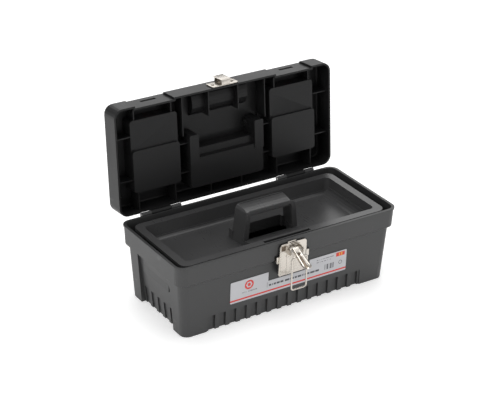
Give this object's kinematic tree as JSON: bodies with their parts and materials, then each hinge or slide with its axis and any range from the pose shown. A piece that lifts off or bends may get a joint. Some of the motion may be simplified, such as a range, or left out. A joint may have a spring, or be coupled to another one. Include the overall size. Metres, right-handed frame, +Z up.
{
  "type": "toolbox with tray",
  "caption": "Small moulded plastic toolbox, lid open, with a lift-out tray, a steel draw latch, lid wells with flush covers and a fold-down carrying handle.",
  "frame": {"origin": "centre of the flat underside of the base", "axes": "+X along the length to the right, +Y to the back where the hinges are, +Z up"},
  "size_m": [0.318, 0.2226, 0.249],
  "materials": {
    "shell_plastic": "fine satin texture, charcoal black",
    "tray_plastic": "smooth satin, charcoal black",
    "cover_plastic": "clear red, glossy",
    "nickel": "nickel-plated pressed steel",
    "pin_steel": "drawn steel",
    "label_foil": "printed silver-grey foil"
  },
  "bodies": {
    "base": {"base_shell": "shell_plastic", "front_label": "label_foil", "hinge_pin_left": "pin_steel", "hinge_pin_right": "pin_steel", "latch_plate": "nickel", "latch_pin": "pin_steel", "latch_rivet_left": "nickel", "latch_rivet_right": "nickel"},
    "lid": {"lid_shell": "shell_plastic", "keeper_plate": "nickel", "keeper_rivet_left": "nickel", "keeper_rivet_right": "nickel", "handle_pin_left": "pin_steel", "handle_pin_right": "pin_steel"},
    "tray": {"tray": "tray_plastic"},
    "cover_left": {"organizer_cover_left": "cover_plastic"},
    "cover_right": {"organizer_cover_right": "cover_plastic"},
    "handle": {"carry_handle": "shell_plastic"},
    "lever": {"latch_lever": "nickel"},
    "bail": {"latch_bail": "nickel"}
  },
  "joints": [
    {"name": "lid_hinge", "type": "hinge", "parent": "base", "child": "lid", "pos_m": [0, 0.0724, 0.0999], "axis": [1, 0, 0], "range_deg": [0, 94.9]},
    {"name": "tray_lift", "type": "slide", "parent": "base", "child": "tray", "axis": [0, 0, -1], "range_m": [-0.11, 0]},
    {"name": "cover_left_hinge", "type": "hinge", "parent": "lid", "child": "cover_left", "pos_m": [-0.1005, 0.1015, 0.11969], "axis": [1, 0, 0], "range_deg": [-95, 0]},
    {"name": "cover_right_hinge", "type": "hinge", "parent": "lid", "child": "cover_right", "pos_m": [0.1005, 0.1015, 0.11969], "axis": [1, 0, 0], "range_deg": [-95, 0]},
    {"name": "handle_fold", "type": "hinge", "parent": "lid", "child": "handle", "pos_m": [0, 0.10146, 0.1766], "axis": [1, 0, 0], "range_deg": [0, 95]},
    {"name": "latch_lever_pivot", "type": "hinge", "parent": "base", "child": "lever", "pos_m": [0, -0.078, 0.086], "axis": [1, 0, 0], "range_deg": [0, 64]},
    {"name": "bail_pivot", "type": "hinge", "parent": "lever", "child": "bail", "pos_m": [0, -0.08654, 0.08184], "axis": [1, 0, 0], "range_deg": [-249, 0]}
  ],
  "couplings": [
    {"joint": "bail_pivot", "follows": "latch_lever_pivot", "ratio": -3.8906}
  ]
}
